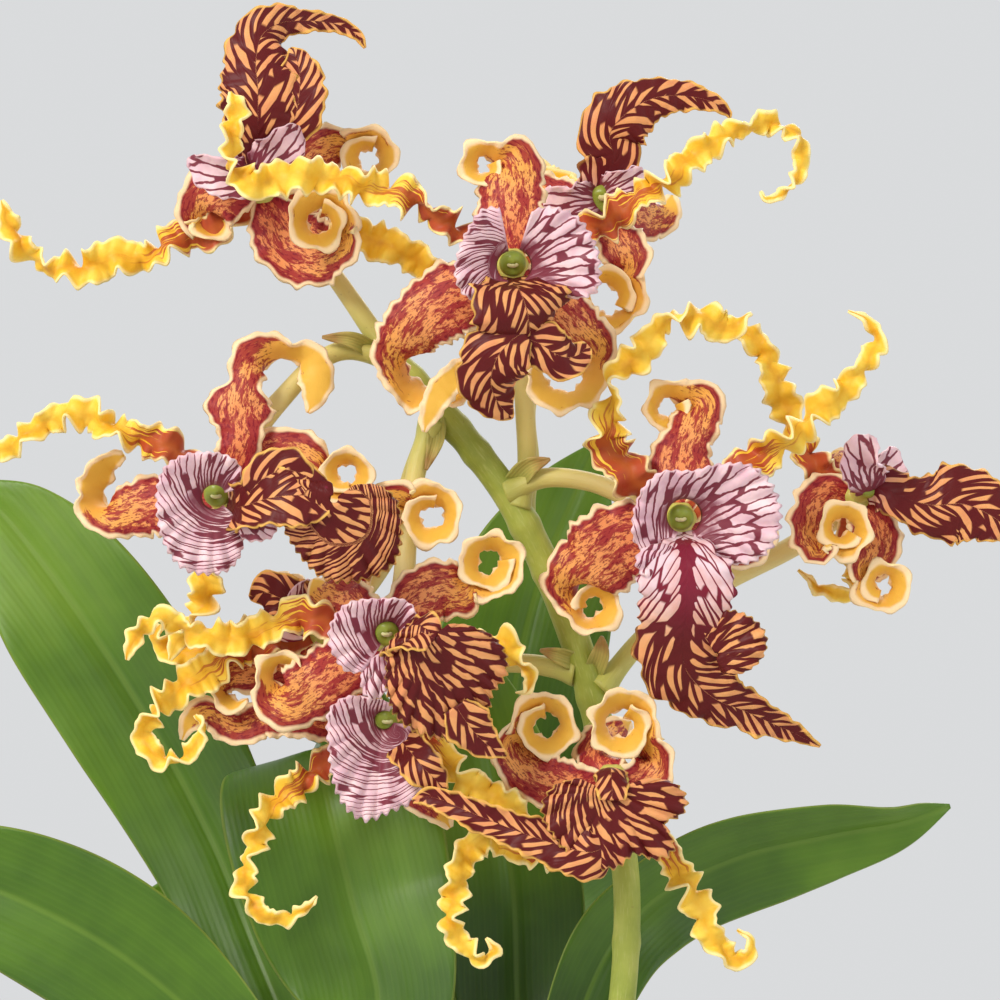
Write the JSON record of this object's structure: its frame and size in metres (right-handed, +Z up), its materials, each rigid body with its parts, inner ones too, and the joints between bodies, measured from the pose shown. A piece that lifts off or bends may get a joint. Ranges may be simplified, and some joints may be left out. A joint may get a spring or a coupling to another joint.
{
  "type": "potted orchid in flower",
  "caption": "Orchid in a round clay pot of bark: leafy canes and one arching stalk of flowers with wavy, curled, pointed petals and a broad veined lip.",
  "frame": {"origin": "centre of the pot's underside", "axes": "+Z up along the pot's axis, +X to the right of someone who faces the flowers, who stands on the -Y side"},
  "size_m": [0.2332, 0.2541, 0.523],
  "materials": {
    "pot": "matt fired clay",
    "bark": "rough chopped bark",
    "cane": "satin, with papery sheaths",
    "leaf": "satin, faintly veined",
    "stalk": "smooth satin",
    "petal": "soft waxy sheen, mottled",
    "lip": "soft waxy sheen, veined"
  },
  "bodies": {
    "root": {"pot": "pot", "bark": "bark", "cane_front": "cane", "cane_right": "cane", "cane_back": "cane", "cane_old": "cane", "leaf_left_tall": "leaf", "leaf_left_low": "leaf", "leaf_folded": "leaf", "leaf_broad": "leaf", "leaf_upright": "leaf", "leaf_right_long": "leaf", "leaf_back_tall": "leaf", "leaf_back_left": "leaf", "leaf_back_right": "leaf", "flower_stalk": "stalk", "flower_top_left": "petal", "lip_top_left": "lip", "flower_top_front": "petal", "lip_top_front": "lip", "flower_top_back": "petal", "lip_top_back": "lip", "flower_left": "petal", "lip_left": "lip", "flower_right": "petal", "lip_right": "lip", "flower_far_right": "petal", "lip_far_right": "lip", "flower_behind_left": "petal", "lip_behind_left": "lip", "flower_centre_left": "petal", "lip_centre_left": "lip", "flower_low_left": "petal", "lip_low_left": "lip", "flower_low_front": "petal", "lip_low_front": "lip"}
  },
  "joints": []
}
